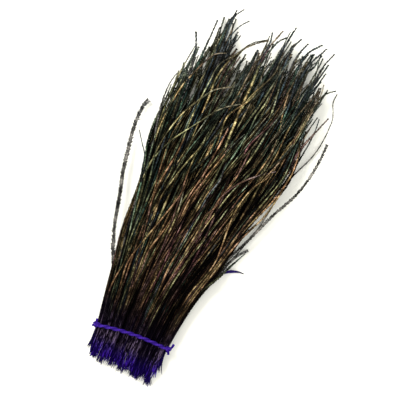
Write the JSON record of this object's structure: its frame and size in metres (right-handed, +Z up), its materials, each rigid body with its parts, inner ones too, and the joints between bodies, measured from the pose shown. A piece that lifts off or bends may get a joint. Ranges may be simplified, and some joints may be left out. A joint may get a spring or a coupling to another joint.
{
  "type": "strung peacock herl",
  "caption": "Flat fan of long iridescent feather herls, sewn side by side across their dyed butts with thread; lies flat on a surface.",
  "frame": {"origin": "middle of the bounding box in X and Y, on the surface that the bunch lies on", "axes": "+Y from the butts to the tips, +Z up from the surface, +X to the right when seen from above with the tips away"},
  "size_m": [0.1207, 0.2481, 0.021],
  "materials": {
    "herl": "dark bronze-brown feather barbs with gold, copper, olive and green metallic glints, charcoal at the tips",
    "dyed_butt": "stripped quill dyed dark blue-violet, satin",
    "thread": "twisted violet thread, soft sheen"
  },
  "bodies": {
    "root": {"herl_lock_01": "herl", "herl_lock_02": "herl", "herl_lock_03": "herl", "herl_lock_04": "herl", "herl_lock_05": "herl", "herl_lock_06": "herl", "herl_lock_07": "herl", "herl_lock_08": "herl", "herl_lock_09": "herl", "herl_lock_10": "herl", "herl_lock_11": "herl", "herl_lock_12": "herl", "herl_lock_13": "herl", "herl_lock_14": "herl", "herl_lock_15": "herl", "herl_lock_16": "herl", "herl_lock_17": "herl", "herl_lock_18": "herl", "herl_lock_19": "herl", "herl_lock_20": "herl", "herl_lock_21": "herl", "herl_lock_22": "herl", "herl_lock_23": "herl", "herl_lock_24": "herl", "herl_lock_25": "herl", "herl_lock_26": "herl", "herl_lock_27": "herl", "herl_lock_28": "herl", "herl_lock_29": "herl", "herl_lock_30": "herl", "herl_lock_31": "herl", "herl_lock_32": "herl", "herl_lock_33": "herl", "herl_lock_34": "herl", "herl_lock_35": "herl", "herl_lock_36": "herl", "herl_lock_37": "herl", "herl_lock_38": "herl", "herl_lock_39": "herl", "herl_lock_40": "herl", "herl_lock_41": "herl", "herl_lock_42": "herl", "herl_lock_43": "herl", "herl_lock_44": "herl", "herl_lock_45": "herl", "herl_lock_46": "herl", "herl_lock_47": "herl", "herl_lock_48": "herl", "stray_herl_left": "herl", "stray_herl_right_thick": "herl", "stray_herl_right_long": "herl", "stray_herl_right_low": "herl", "loose_herl_butt": "dyed_butt", "stitching_thread": "thread"}
  },
  "joints": []
}
